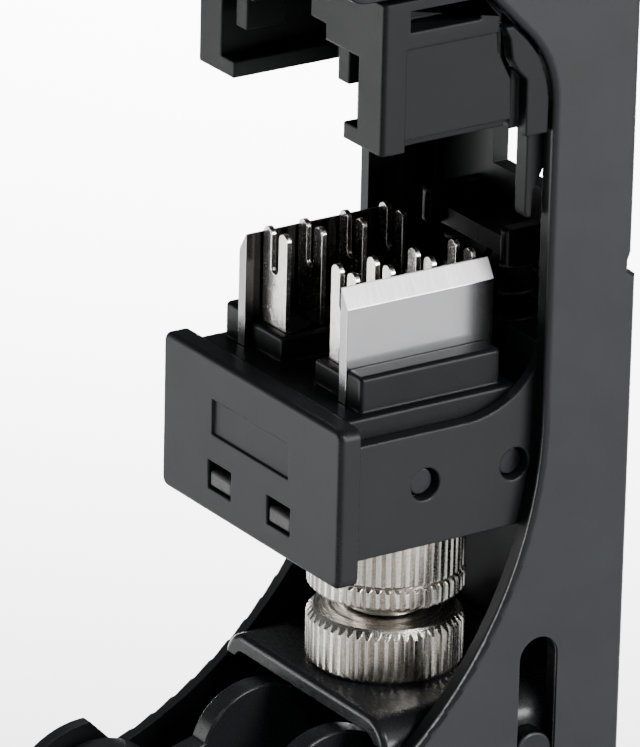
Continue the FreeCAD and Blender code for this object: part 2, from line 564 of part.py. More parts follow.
def die_block():
    body = block("die_body", ("-die_half_width", "die_half_width"),
                 ("front_y + front_thick + 0.05", "die_back_y"),
                 ("floor_top_z", "die_top_z"))
    top = value("die_top_z")
    body = rounded("die_body_soft", body, 0.3, lambda edge: lies_on(edge, z=top))
    parts = [body]
    cuts = [rod("ring_room", 6, (0, 0, "floor_top_z - 1"), 4)]
    for side, way in (("right", 1), ("left", -1)):
        ridge = block("ridge_%s" % side, across(way, "blade_inner + blade_thick", "ridge_outer"),
                      ("ridge_front_y", "ridge_back_y"),
                      ("die_top_z - 0.5", "ridge_top_z"))
        edge_x = way * value("ridge_outer")
        ridge = rounded("ridge_round_" + side, ridge, 0.4,
                        lambda edge: edge.BoundBox.ZLength > 1 and lies_on(edge, x=edge_x))
        ridge_top = value("ridge_top_z")
        ridge = bevelled("ridge_soft_" + side, ridge, 0.28,
                         lambda edge: lies_on(edge, z=ridge_top) and abs(edge.BoundBox.XMin) > 8.8
                         or lies_on(edge, z=ridge_top, x=edge_x))
        base = block("base_" + side, across(way, "base_inner", "blade_inner"),
                     ("base_front_y", "ridge_back_y"), ("die_top_z - 0.5", "base_top_z"))
        base_top = value("base_top_z")
        base = rounded("base_soft_" + side, base, 0.35, lambda edge: lies_on(edge, z=base_top))
        tongue = block("tongue_" + side, across(way, 2.95, 6.35),
                       ("front_y + tongue_depth", "front_y + front_thick + 0.5"), (124.85, 126.25))
        tip = value("front_y + tongue_depth")
        tongue = rounded("tongue_soft_" + side, tongue, 0.3, lambda edge: lies_on(edge, y=tip))
        stem = block("stem_" + side, across(way, 3.4, 5.9),
                     ("front_y + front_thick + 0.1", "front_y + front_thick + 1.5"),
                     ("floor_top_z", 129))
        parts += [ridge, base, tongue, stem]
        cuts.append(block("blade_slot_" + side,
                          across(way, "blade_inner - 0.02", "blade_inner + blade_thick + 0.02"),
                          ("blade_front_y - 0.02", "blade_back_y + 0.02"), (128, 150)))
        for number in range(4):
            near = "fork_y_%s" % "abcd"[number]
            cuts.append(block("fork_slot_%s_%d" % (side, number),
                              across(way, "fork_x - fork_width / 2 - 0.02",
                                     "fork_x + fork_width / 2 + 0.02"),
                              (near + " - 0.02", near + " + fork_thick + 0.02"), (131.5, 150)))
    for number, step in enumerate((-0.5, 0.5)):
        cuts.append(rod("die_hole_%d" % number, "die_pin_radius + 0.01",
                        (-20, "die_pin_mid_y + (%s) * die_pin_pitch" % step, "die_pin_z"), 40, "X"))
    return trim("die_cut", join("die_solid", *parts), *cuts)


node("die_block", die_block())
for place, step in (("front", -0.5), ("rear", 0.5)):
    middle = "die_pin_mid_y + (%s) * die_pin_pitch" % step
    pin = rod("die_rod_" + place, "die_pin_radius", (-12.05, middle, "die_pin_z"), 24.1, "X")
    node("die_pin_" + place, rounded("die_rod_soft_" + place, pin, 0.3,
                                     lambda edge: edge.BoundBox.XLength < 0.01))

BLADE_OUTLINE = [
    ("blade_inner", 128.1), ("blade_inner + blade_thick", 128.1),
    ("blade_inner + blade_thick", "blade_top_z - 1.7"),
    ("blade_inner + 0.08", "blade_top_z"), ("blade_inner", "blade_top_z"),
]


def blade(name):
    # The XZ plane looks along -Y, so the pad runs from the back end forwards.
    solid = extrude(name + "_body", "XZ", BLADE_OUTLINE, "-blade_back_y",
                    "blade_back_y - blade_front_y")
    holes = [rod("%s_hole_%d" % (name, number), "die_pin_radius + 0.01",
                 (0, "die_pin_mid_y + (%s) * die_pin_pitch" % step, "die_pin_z"), 20, "X")
             for number, step in enumerate((-0.5, 0.5))]
    return trim(name + "_cut", solid, *holes)


node("blade_right", blade("blade_r"))
node("blade_left", mirrored("blade_l_mirror", blade("blade_l")))

for side, way in (("right", 1), ("left", -1)):
    for number in range(4):
        centre = "%d * fork_x" % way
        half = "fork_width / 2"
        tine = "(fork_width - fork_gap) / 4"
        slit = "fork_gap / 2"
        outline = [
            ("%s - %s" % (centre, half), 131.6), ("%s + %s" % (centre, half), 131.6),
            ("%s + %s" % (centre, half), "fork_top_z - %s" % tine, (tine, 1)),
            ("%s + %s - %s" % (centre, half, tine), "fork_top_z", (tine, 1)),
            ("%s + %s" % (centre, slit), "fork_top_z - %s" % tine),
            ("%s + %s" % (centre, slit), "fork_slot_z", (slit, -1)),
            (centre, "fork_slot_z - %s" % slit, (slit, -1)),
            ("%s - %s" % (centre, slit), "fork_slot_z"),
            ("%s - %s" % (centre, slit), "fork_top_z - %s" % tine, (tine, 1)),
            ("%s - %s + %s" % (centre, half, tine), "fork_top_z", (tine, 1)),
            ("%s - %s" % (centre, half), "fork_top_z - %s" % tine),
        ]
        fork = extrude("fork_body_%s_%d" % (side, number), "XZ", outline,
                       "-(fork_y_%s + fork_thick)" % "abcd"[number], "fork_thick")
        node("fork_%s_%d" % (side, number + 1), fork)


# --- Return springs -------------------------------------------------------------------------------

SPRING_X = 4.2
SPRING_Y = 10.6
SPRING_RADIUS = 1.85
SPRING_WIRE = 0.3
SPRING_TURNS = 7

for side, x in (("right", SPRING_X), ("left", -SPRING_X)):
    floor = value("floor_top_z") + SPRING_WIRE
    length = value("ledge_low_z") - 0.1 - SPRING_WIRE - floor
    helix = Part.makeHelix(length / SPRING_TURNS, length, SPRING_RADIUS)
    wire = Part.Wire(Part.makeCircle(SPRING_WIRE, Vector(SPRING_RADIUS, 0, 0), Vector(0, 1, 0)).Edges)
    coil = doc.addObject("Part::Feature", "coil_" + side)
    coil.Shape = Part.Wire(helix.Edges).makePipeShell([wire], True, True)
    coil.Placement = Placement(Vector(x, SPRING_Y, floor), Rotation())
    node("return_spring_" + side, coil)

# --- Jack holder and bracket ----------------------------------------------------------------------


HOLDER_OUTLINE = [
    ("holder_front_y", "holder_low_z"), (2.06, "holder_low_z"), (1.93, 165.4), (1.17, 166.9),
    (0.51, 168.3), (0.35, 170),
    (0.35, 171.5), (-2.35, "holder_top_z"), ("holder_front_y", "holder_top_z"),
]


def jack_holder():
    body = extrude("holder_body", "YZ", HOLDER_OUTLINE, "-holder_half_width", "2 * holder_half_width")
    face = value("holder_front_y")
    soft = rounded("holder_soft", body, 0.5,
                   lambda edge: lies_on(edge, y=face) and edge.BoundBox.ZLength > 5)
    neck = block("holder_neck", (-8, 8), (-10.8, 0.3), ("holder_top_z - 1", 178))
    tee = block("holder_tee", (-10.6, 10.6), (-10.8, 0.3), (177.2, 179))
    tabs = [block("tab_" + side, (low, high), (-11, -7), (165.6, 169.2)) for side, low,
            high in (("right", 7, 8.7), ("left", -8.7, -7))]
    nest = block("nest", ("-nest_half_width", "nest_half_width"), ("holder_front_y - 1", -0.6),
                 ("lip_top_z", "nest_top_z"))
    mouth = block("mouth", ("-lip_half_width", "lip_half_width"), ("holder_front_y - 1", -0.6),
                  ("holder_low_z - 1", "lip_top_z + 0.1"))
    crown = block("crown", (-5.5, 5.5), ("holder_front_y - 1", -0.6), ("nest_top_z - 0.1", 170.1))
    latch = block("latch_room", (-3.2, 3.2), ("holder_front_y - 1", -4), (170, 173.2))
    shell = trim("holder_shell", join("holder_solid", soft, neck, tee), nest, mouth, crown, latch)
    shell = join("holder_with_tabs", shell, *tabs)
    cuts = []
    for side, way in (("right", 1), ("left", -1)):
        cuts.append(block("panel_" + side,
                          across(way, "holder_half_width - 0.4", "holder_half_width + 1"),
                          (-8.9, 3), ("holder_low_z + 0.9", 169.9)))
        cuts.append(block("foot_" + side,
                          across(way, "holder_half_width - 1.4", "holder_half_width + 1"),
                          (-8.9, 3), ("holder_low_z - 1", "holder_low_z + 0.9")))
        cuts.append(block("side_window_" + side,
                          across(way, "nest_half_width + 0.9", "holder_half_width + 1"),
                          (-8.6, -1.6), (171.4, 173.2)))
    return trim("holder_cut", shell, *cuts)


node("jack_holder", jack_holder())

ARM_OUTLINE = [
    ("bay_edge_y - arm_gap", 160.1), ("bay_edge_y - arm_gap", "bay_corner_z",
                                      ("bay_corner - arm_gap", 1)),
    ("bay_edge_y - 0.2929 * bay_corner - 0.7071 * arm_gap",
     "bay_corner_z + 0.7071 * (bay_corner - arm_gap)"),
    (1.8, 170.2), (0.9, 170.2),
    (1.49, 169.1), (1.76, 167.2), (2.41, 166.1), (3.3, 165.2), (3.33, 160.1),
]

LEAF_OUTLINE = [(6.5, 161), (4.4, 161), (4.4, 152.8), (4.6, 152.2), (5.1, 152.2), (5.2, 154.4), (6.5, 157.1)]


def holder_bracket():
    roof = block("bracket_roof", (-13, 13), (-13.6, 5.6), ("bracket_top_z - 1.3", "bracket_top_z"))
    rails = [block("rail_" + side, across(way, 8.4, 13), (-13.6, 5.6), (174.9, 176.8)) for side,
             way in (("right", 1), ("left", -1))]
    webs = [block("rail_web_" + side, across(way, 11, 13), (-13.6, 5.6), (176, "bracket_top_z - 0.5"))
            for side, way in (("right", 1), ("left", -1))]
    end = block("rail_end", (-12, 12), (2.2, 4.2), (174.9, "bracket_top_z - 0.5"))
    arms = []
    for side, way in (("right", 1), ("left", -1)):
        arms.append(extrude(side + "_arm", "YZ", ARM_OUTLINE, across(way, 12.9, 14.2)[0], 1.3))
        arms.append(extrude(side + "_arm_root", "YZ",
                            [(5.6, 160.6), (5.6, 163), (4.6, 166.5), (4.2, 177), (2.4, 177),
                             (2.4, 160.6)],
                            across(way, 11.3, 13)[0], 1.7))
        arms.append(extrude(side + "_leaf", "YZ", LEAF_OUTLINE,
                            across(way, 11.3, 12.9)[0], 1.6))
    return join("bracket_solid", roof, end, *rails, *webs, *arms)


node("holder_bracket", holder_bracket())

# --- Checks and files -----------------------------------------------------------------------------

doc.recompute()
for thing in doc.Objects:
    if "Invalid" in thing.State or "Error" in thing.State:
        raise RuntimeError("%s failed to compute" % thing.Label)
os.makedirs("parts", exist_ok=True)
for thing in NODES:
    shape = thing.Shape
    if shape.isNull() or not shape.isValid():
        raise RuntimeError("%s has no valid shape" % thing.Label)
    box = shape.BoundBox
    print("%-20s solids %2d volume %9.1f  X %.2f..%.2f Y %.2f..%.2f Z %.2f..%.2f" % (
        thing.Label, len(shape.Solids), shape.Volume, box.XMin, box.XMax, box.YMin, box.YMax, box.ZMin,
        box.ZMax))
    shape.exportStep("parts/%s.step" % thing.Label)
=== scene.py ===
"""Looks of the punch down tool: finishes, fine mesh pieces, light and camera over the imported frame."""

import json
import math

import bmesh
import bpy
from mathutils import Matrix, Vector


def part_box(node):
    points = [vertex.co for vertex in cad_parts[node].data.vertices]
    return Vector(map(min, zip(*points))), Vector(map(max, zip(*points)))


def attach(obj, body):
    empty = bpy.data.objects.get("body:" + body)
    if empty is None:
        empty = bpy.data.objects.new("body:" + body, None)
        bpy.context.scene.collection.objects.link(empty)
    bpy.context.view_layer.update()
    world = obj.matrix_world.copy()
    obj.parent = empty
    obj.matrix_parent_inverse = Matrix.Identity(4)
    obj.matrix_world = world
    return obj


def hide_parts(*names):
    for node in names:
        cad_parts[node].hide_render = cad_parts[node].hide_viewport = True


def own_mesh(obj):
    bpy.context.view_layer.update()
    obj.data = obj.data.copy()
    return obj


MM = 0.001
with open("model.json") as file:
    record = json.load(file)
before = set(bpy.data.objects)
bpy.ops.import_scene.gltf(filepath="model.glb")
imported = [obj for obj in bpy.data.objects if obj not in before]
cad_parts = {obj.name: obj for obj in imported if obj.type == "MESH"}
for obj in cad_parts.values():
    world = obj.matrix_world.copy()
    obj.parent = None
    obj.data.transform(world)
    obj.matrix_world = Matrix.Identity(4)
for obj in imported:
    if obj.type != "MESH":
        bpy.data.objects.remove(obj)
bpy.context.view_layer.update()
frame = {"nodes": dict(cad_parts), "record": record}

# --- Node helpers ---------------------------------------------------------------------------------

RIM_BEND = (0.004, 0.12)
RIM_SAMPLES = 4


class Finish:
    """A node material; add() makes a node, and sets or links its inputs."""

    def __init__(self, name):
        self.material = bpy.data.materials.new(name)
        self.material.use_nodes = True
        self.tree = self.material.node_tree
        self.tree.nodes.clear()

    def add(self, kind, inputs=(), **settings):
        node = self.tree.nodes.new("ShaderNode" + kind)
        for name, setting in settings.items():
            setattr(node, name, setting)
        for key, given in dict(inputs).items():
            if isinstance(given, bpy.types.NodeSocket):
                self.tree.links.new(given, node.inputs[key])
            else:
                node.inputs[key].default_value = given
        return node

    def maths(self, operation, first, second=0.0):
        return self.add("Math", {0: first, 1: second}, operation=operation).outputs[0]

    def times(self, first, second):
        return self.maths("MULTIPLY", first, second)

    def plus(self, first, second):
        return self.maths("ADD", first, second)

    def span(self, given, low, high, to_low=0.0, to_high=1.0):
        """Maps low..high onto to_low..to_high, clamped."""
        inputs = {0: given, 1: low, 2: high, 3: to_low, 4: to_high}
        return self.add("MapRange", inputs).outputs[0]

    def mix(self, share, first, second):
        """A colour between two others."""
        mixed = self.add("Mix", {0: share}, data_type="RGBA")
        for key, given in ((6, first), (7, second)):
            if isinstance(given, bpy.types.NodeSocket):
                self.tree.links.new(given, mixed.inputs[key])
            else:
                mixed.inputs[key].default_value = (*given, 1)
        return mixed.outputs[2]

    def place(self):
        """Object coordinates, in metres."""
        return self.add("TexCoord").outputs["Object"]

    def stretched(self, scale):
        return self.add("Mapping", {0: self.place(), 3: scale}).outputs[0]

    def parts(self, vector):
        """The X, Y and Z of a vector."""
        return self.add("SeparateXYZ", {0: vector}).outputs

    def true_normal(self):
        return self.add("NewGeometry").outputs["Normal"]

    def noise(self, vector, scale, detail=2.0, rough=0.5):
        inputs = {"Vector": vector, "Scale": scale, "Detail": detail, "Roughness": rough}
        return self.add("TexNoise", inputs).outputs[0]

    def rim(self, radius):
        """A mask that is 1 on convex and concave edges, and the normal that rounds them."""
        soft = self.add("Bevel", {"Radius": radius}, samples=RIM_SAMPLES).outputs[0]
        vectors = {0: soft, 1: self.true_normal()}
        dot = self.add("VectorMath", vectors, operation="DOT_PRODUCT").outputs["Value"]
        return self.span(self.maths("SUBTRACT", 1.0, dot), *RIM_BEND), soft

    def bump(self, height, distance, normal):
        inputs = {"Height": height, "Distance": distance, "Strength": 1.0, "Normal": normal}
        return self.add("Bump", inputs).outputs[0]

    def close(self, **inputs):
        """The Principled shader and the output."""
        sockets = {key.replace("_", " "): given for key, given in inputs.items()}
        shader = self.add("BsdfPrincipled", sockets)
        self.add("OutputMaterial", {0: shader.outputs[0]})
        return self.material


def scaled(colour, share):
    """A colour made darker or lighter, up to white."""
    return [min(1.0, part * share) for part in colour]


def grey(level, tint=(1.0, 1.0, 1.0)):
    return tuple(level * share for share in tint)


# --- Finishes -------------------------------------------------------------------------------------

COOL = (0.9, 0.99, 1.13)
FLOW = (0.86, 1.14)
EDGE_WEAR_AND_HIGHLIGHT_TONE = 4.5
GRAIN_TONE = 1.7
INSIDE_PAINTED_SHADE = 0.75
TONGUE_PAINTED_LIGHT = (0.05, 0.12)
GLOSS_OF_WEAR = 0.14
CORNER_START = (0.2, 0.4)
CORNER_END = (0.97, 0.9)
# The span of the painted throat highlight: across X, then down Z, in mm.
LINE_START = 14.32
LINE_END = 14.46
LINE_FADE = 0.04
LINE_HIGH = 136
LINE_LOW = 126
THROAT_HIGHLIGHT_TONE = 0.25


def paint_inside_shade(f, body, across, planes):
    """Painted shade over the inside of a mould, between two planes across X (mm): the body colour is
    darkened where the inside lies in shade.
    """
    beyond_first = f.maths("GREATER_THAN", across, planes[0] * MM)
    before_second = f.maths("LESS_THAN", across, planes[1] * MM)
    inside = f.times(beyond_first, before_second)
    return f.mix(f.times(inside, INSIDE_PAINTED_SHADE), body, grey(0.0))


def paint_throat_highlight(f, colour, axes, scuff):
    """A painted highlight: a pale line along a shell's rounded throat edge, broken up by the scuff
    texture.
    """
    away = f.maths("ABSOLUTE", axes[0])
    start = f.span(away, LINE_START * MM, (LINE_START + LINE_FADE) * MM)
    end = f.span(away, LINE_END * MM, (LINE_END - LINE_FADE) * MM)
    line = f.times(f.times(start, end), f.span(axes[2], LINE_HIGH * MM, LINE_LOW * MM))
    return f.mix(f.times(line, f.span(scuff, 0.35, 0.6, 0.4, 1.0)), colour, grey(THROAT_HIGHLIGHT_TONE))


def plastic(name, level, roughness, grain=0.006, wear_and_highlight=0.5, rounding=0.22, specular=0.17, inner=(),
            tips=0.0):
    """Satin moulded plastic: spark-eroded grain, faint flow shading, edges lighter from rubbed wear and
    a painted highlight.

    Between the two inner planes across X (mm) it is darkened with painted shade, and its throat edge
    gets a painted highlight line.
    In front of the tips plane (mm) it is painted pale, as painted light on a snap tongue.
    """
    f = Finish(name)
    place = f.place()
    axes = f.parts(place)
    cloud = f.noise(place, 190, 3.0, 0.6)
    patch = f.noise(place, 900, 3.0, 0.6)
    speck = f.noise(place, 6500, 3.0, 0.7)
    scuff = f.noise(f.stretched((420, 1500, 2600)), 1.0, 4.0, 0.75)
    edge, soft = f.rim(rounding * MM)
    worn = f.times(edge, f.span(patch, 0.35, 0.65, 0.35, 1.0))
    body = f.mix(cloud, grey(level * FLOW[0], COOL), grey(level * FLOW[1], COOL))
    body = f.mix(f.span(speck, 0.56, 0.75, 0.0, 0.35), body, grey(level * GRAIN_TONE, COOL))
    # Painted shade: the shell's inside, between the two inner planes, is darkened.
    if inner:
        body = paint_inside_shade(f, body, axes[0], inner)
    # Painted light: the snap tongues in front of the tips plane are made pale where light falls on them.
    if tips:
        tongue_light = f.mix(patch, grey(TONGUE_PAINTED_LIGHT[0]), grey(TONGUE_PAINTED_LIGHT[1]))
        body = f.mix(f.maths("LESS_THAN", axes[1], tips * MM), body, tongue_light)
    # Lighter edges: partly real rubbed wear, partly a painted edge highlight; laid over the painted
    # inside shade so that the inner edges stay bright.
    colour = f.mix(f.times(worn, wear_and_highlight), body, grey(level * EDGE_WEAR_AND_HIGHLIGHT_TONE, COOL))
    # Painted highlight: a pale line along the shell's throat edge.
    if inner:
        colour = paint_throat_highlight(f, colour, axes, scuff)
    sideways = f.maths("ABSOLUTE", f.parts(f.true_normal())[0])
    corner = f.times(f.span(sideways, *CORNER_START), f.span(sideways, *CORNER_END))
    grained = f.span(speck, 0.3, 0.7, roughness - 0.05, roughness + 0.06)
    rough = f.plus(grained, f.span(cloud, 0.3, 0.7, -0.03, 0.03))
    rough = f.maths("SUBTRACT", rough, f.span(scuff, 0.6, 0.75, 0.0, 0.05))
    rubbed = f.times(f.maths("MAXIMUM", worn, corner), GLOSS_OF_WEAR)
    rough = f.maths("SUBTRACT", rough, rubbed)
    normal = f.bump(speck, grain * MM, f.bump(scuff, grain * 0.3 * MM, soft))
    return f.close(Base_Color=colour, Roughness=rough, Normal=normal, Specular_IOR_Level=specular)


def enamel(name, level, roughness):
    """Black coated steel: thin glossy coat with faint orange peel and fine rub marks."""
    f = Finish(name)
    place = f.place()
    peel = f.noise(place, 1400)
    fine = f.noise(f.stretched((900, 7000, 7000)), 1.0, 3.0, 0.7)
    edge, soft = f.rim(0.18 * MM)
    worn = f.times(edge, f.span(f.noise(place, 1100, 4.0, 0.7), 0.42, 0.62))
    colour = f.mix(f.noise(place, 260, 3.0), grey(level * 0.8, COOL), grey(level * 1.25, COOL))
    colour = f.mix(f.times(worn, 0.5), colour, grey(0.3))
    rough = f.span(fine, 0.35, 0.7, roughness - 0.05, roughness + 0.09)
    rough = f.plus(rough, f.times(worn, 0.1))
    normal = f.bump(peel, 0.006 * MM, f.bump(fine, 0.0012 * MM, soft))
    return f.close(Base_Color=colour, Roughness=rough, Normal=normal, Specular_IOR_Level=0.2,
                   Coat_Weight=0.05, Coat_Roughness=0.25)


EVEN_MARKS = (2400, 2400, 2400)


def metal(name, colour, roughness, stretch=EVEN_MARKS, depth=0.0015, streak=0.12):
    """Bare or plated metal with a directional fine mark and dulled hollows."""
    f = Finish(name)
    place = f.place()
    mark = f.noise(f.stretched(stretch), 1.0, 4.0, 0.75)
    pit = f.noise(place, 5200, 3.0, 0.7)
    cloud = f.noise(place, 420, 3.0, 0.6)
    edge, soft = f.rim(0.1 * MM)
    tone = f.mix(f.span(cloud, 0.35, 0.65), scaled(colour, 0.88), colour)
    tone = f.mix(f.span(pit, 0.58, 0.78, 0.0, 0.6), tone, scaled(colour, 0.6))
    tone = f.mix(f.times(edge, 0.4), tone, scaled(colour, 1.12))
    rough = f.span(mark, 0.3, 0.7, roughness - streak, roughness + streak)
    rough = f.plus(rough, f.span(pit, 0.5, 0.8, 0.0, 0.12))
    normal = f.bump(mark, depth * MM, f.bump(pit, depth * 0.8 * MM, soft))
    return f.close(Base_Color=tone, Metallic=1.0, Roughness=rough, Normal=normal)


# Where the blades' painted dark reflection stops: the inner X plane and the front edge, in mm.
BLADE_INNER = 7.37
BLADE_FRONT = -9.65
FRONT_FADE = 0.15
DARK_REFLECTION_TONE = 0.008


def paint_dark_reflection(f, tone, axes):
    """Painted dark reflection: the inner side of a blade is made near black where it mirrors the dark
    die below, a little lighter at its front edge.
    """
    inside = f.maths("LESS_THAN", f.maths("ABSOLUTE", axes[0]), BLADE_INNER * MM)
    behind = f.span(axes[1], BLADE_FRONT * MM, (BLADE_FRONT + FRONT_FADE) * MM, 0.75, 1.0)
    return f.mix(f.times(f.times(inside, behind), 0.93), tone, grey(DARK_REFLECTION_TONE))


def ground_steel(name, colour, roughness):
    """Satin blade steel: the bevel keeps the wheel's marks and a painted highlight, the inner side a
    painted dark reflection.
    """
    f = Finish(name)
    place = f.place()
    marks = f.noise(f.stretched((300, 5200, 300)), 1.0, 5.0, 0.8)
    broad = f.noise(f.stretched((100, 900, 100)), 1.0)
    satin = f.noise(place, 6000, 3.0, 0.7)
    cloud = f.noise(place, 300)
    bevel = f.span(f.parts(f.true_normal())[2], 0.25, 0.4)
    edge, soft = f.rim(0.08 * MM)
    tone = f.mix(f.span(cloud, 0.3, 0.7), scaled(colour, 0.94), colour)
    # The up-facing ground bevel: lighter for its fresh grinding, and brightened further as a painted
    # highlight.
    bright = f.mix(f.span(marks, 0.3, 0.7), scaled(colour, 1.35), scaled(colour, 1.9))
    tone = f.mix(bevel, tone, bright)
    # Painted highlight along the blade's edges.
    tone = f.mix(f.times(edge, 0.5), tone, scaled(colour, 1.7))
    # Painted dark reflection on the blade's inner side.
    tone = paint_dark_reflection(f, tone, f.parts(place))
    rough = f.span(satin, 0.3, 0.7, roughness - 0.02, roughness + 0.03)
    rough = f.plus(rough, f.times(bevel, 0.2))
    height = f.times(f.plus(marks, f.times(broad, 0.8)), bevel)
    normal = f.bump(height, 0.012 * MM, f.bump(satin, 0.0004 * MM, soft))
    return f.close(Base_Color=tone, Metallic=1.0, Roughness=rough, Normal=normal)


RINGS_A_METRE = 7000.0


def turned_nickel(name, colour, roughness):
    """Nickel plate over a turned part: rings about the axis, and a cast speckle."""
    f = Finish(name)
    place = f.place()
    axes = f.parts(place)
    radius = f.maths("SQRT", f.plus(f.times(axes[0], axes[0]), f.times(axes[1], axes[1])))
    rings = {"W": f.times(radius, RINGS_A_METRE), "Scale": 1.0, "Detail": 3.0}
    ring = f.add("TexNoise", rings, noise_dimensions="1D").outputs[0]
    speck = f.noise(place, 7500, 3.0, 0.8)
    cloud = f.noise(place, 600, 3.0, 0.6)
    soft = f.rim(0.06 * MM)[1]
    tone = f.mix(f.span(speck, 0.42, 0.7), colour, scaled(colour, 0.62))
    tone = f.mix(f.span(cloud, 0.45, 0.65, 0.0, 0.2), tone, scaled(colour, 0.8))
    rough = f.span(speck, 0.3, 0.75, roughness - 0.05, roughness + 0.12)
    rough = f.plus(rough, f.span(ring, 0.3, 0.7, -0.03, 0.04))
    normal = f.bump(ring, 0.004 * MM, f.bump(speck, 0.012 * MM, soft))
    return f.close(Base_Color=tone, Metallic=1.0, Roughness=rough, Normal=normal)


# The planes of the housing's painted inside shade, and the front of the die's painted tongue light, in
# mm.
SHELL_INSIDE = (-13.15, 14.2)
TONGUE_FRONT = -13.2
FINISHES = {
    "housing": plastic("housing_plastic", 0.0165, 0.36, rounding=0.1, inner=SHELL_INSIDE),
    "carriage": plastic("carriage_plastic", 0.01, 0.4, specular=0.14),
    "die": plastic("die_plastic", 0.006, 0.32, wear_and_highlight=0.3, specular=0.12, tips=TONGUE_FRONT),
    "holder": plastic("holder_plastic", 0.006, 0.42, specular=0.12),
    "grip": plastic("grip_plastic", 0.013, 0.46, grain=0.012),
    "slide": plastic("slide_nylon", 0.01, 0.4, wear_and_highlight=0.2),
    "nickel": turned_nickel("turned_nickel", (0.78, 0.745, 0.69), 0.22),
    "fork_steel": metal("fork_steel", (0.8, 0.77, 0.72), 0.2, (1800, 1800, 600), streak=0.07),
    "blade_steel": ground_steel("blade_steel", (0.36, 0.36, 0.37), 0.19),
    "plate_black": enamel("plate_enamel", 0.01, 0.27),
    "lever_steel": enamel("lever_enamel", 0.016, 0.24),
    "zinc": metal("zinc_plate", (0.62, 0.63, 0.65), 0.32, depth=0.002),
    "black_oxide": metal("black_oxide", (0.025, 0.025, 0.028), 0.4, depth=0.002),
    "spring": metal("spring_steel", (0.03, 0.03, 0.032), 0.5, (600, 600, 9000)),
}

slots = {part["node"]: part["material_slot"] for part in frame["record"]["subparts"]}
for name, thing in frame["nodes"].items():
    for number in range(len(thing.material_slots)):
        thing.material_slots[number].material = FINISHES[slots[name]]

# --- Helpers for the fine pieces over the frame ---------------------------------------------------

SHARP_ANGLE = 34
JOINED = 2e-6
FLAT_ANGLE = 0.6
HARD_ANGLE = 30
EDGE_STEPS = 2

behaviour = frame["record"]["behaviour"]
rides_on = {node: body for body, nodes in behaviour["bodies"].items() for node in nodes}
travel = {joint["name"]: joint.get("range_m") for joint in behaviour["joints"]}


def finished(shape, name):
    """A bmesh made into a mesh."""
    mesh = bpy.data.meshes.new(name)
    shape.to_mesh(mesh)
    shape.free()
    return mesh


def piece(name, mesh, node):
    """An object for a mesh that stands for a CAD node, with its finish and its body."""
    thing = bpy.data.objects.new(name, mesh)
    bpy.context.scene.collection.objects.link(thing)
    mesh.materials.clear()
    mesh.materials.append(FINISHES[slots[node]])
    mesh.set_sharp_from_angle(angle=math.radians(SHARP_ANGLE))
    for face in mesh.polygons:
        face.use_smooth = True
    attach(thing, rides_on[node])
    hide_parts(node)
    return thing


def softened(node, width):
    """The CAD node's own shape with every hard edge broken by a small bevel."""
    shape = bmesh.new()
    shape.from_mesh(frame["nodes"][node].data)
    bmesh.ops.remove_doubles(shape, verts=shape.verts, dist=JOINED)
    bmesh.ops.dissolve_limit(shape, angle_limit=math.radians(FLAT_ANGLE), verts=shape.verts,
                             edges=shape.edges)
    thing = piece(node + "_fine", finished(shape, node + "_fine"), node)
    edges = thing.modifiers.new("edges", "BEVEL")
    edges.limit_method = "ANGLE"
    edges.angle_limit = math.radians(HARD_ANGLE)
    edges.width = width * MM
    edges.segments = EDGE_STEPS
    edges.use_clamp_overlap = False
    shading = thing.modifiers.new("shading", "WEIGHTED_NORMAL")
    shading.keep_sharp = True


def at(radius, turn, height):
    """A point in metres from cylinder coordinates in mm."""
    return (radius * math.cos(turn) * MM, radius * math.sin(turn) * MM, height * MM)


TEETH = 50
STEPS_A_TOOTH = 12
GROOVE_SHARE = 0.66
GROOVE_DEPTH = 0.5


def knurled(name, profile, crest):
    """A turned mesh from a closed (radius, height) profile in mm, with a ring of teeth.

    The grooves cut every point that lies outside them. crest is the radius over the teeth.
    """
    shape = bmesh.new()
    count = TEETH * STEPS_A_TOOTH
    loops = []
    for radius, height in profile:
        loop = []
        for number in range(count):
            share = abs((number % STEPS_A_TOOTH) / STEPS_A_TOOTH - 0.5) * 2
            flank = min(1.0, max(0.0, (1.0 - share) / GROOVE_SHARE))
            cut = min(radius, crest - GROOVE_DEPTH * (1 - flank))
            loop.append(shape.verts.new(at(cut, 2 * math.pi * number / count, height)))
        loops.append(loop)
    for number, loop in enumerate(loops):
        other = loops[(number + 1) % len(loops)]
        for corner in range(count):
            beside = (corner + 1) % count
            shape.faces.new((loop[corner], loop[beside], other[beside], other[corner]))
    bmesh.ops.recalc_face_normals(shape, faces=shape.faces)
    return finished(shape, name)


def coil(name, section, middle, rise, turns, steps, start):
    """A mesh from a (radius, height) section in mm that winds about the Z axis.

    It climbs by rise in all, and starts at an angle in degrees.
    """
    shape = bmesh.new()
    rings = []
    for number in range(steps + 1):
        share = number / steps
        turn = math.radians(start) + 2 * math.pi * turns * share
        lift = middle + rise * (share - 0.5)
        rings.append([shape.verts.new(at(radius, turn, lift + height)) for radius, height in section])
    for ring, following in zip(rings, rings[1:]):
        for corner in range(len(section)):
            beside = (corner + 1) % len(section)
            shape.faces.new((ring[corner], ring[beside], following[beside], following[corner]))
    shape.faces.new(rings[0])
    shape.faces.new(rings[-1])
    bmesh.ops.recalc_face_normals(shape, faces=shape.faces)
    return finished(shape, name)


def heights(node):
    low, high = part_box(node)
    return low.z / MM, high.z / MM


RING_DEPTH = 0.07
RING_PITCH = 0.21


def turned_face(inner, outer, height):
    """Profile points across a flat face with the shallow rings that a lathe tool leaves."""
    points = []
    for number in range(int((outer - inner) / RING_PITCH)):
        depth = RING_DEPTH * (number % 2) * (0.6 + 0.4 * math.sin(number * 2.3))
        points.append((inner + RING_PITCH * number, height - depth))
    return points


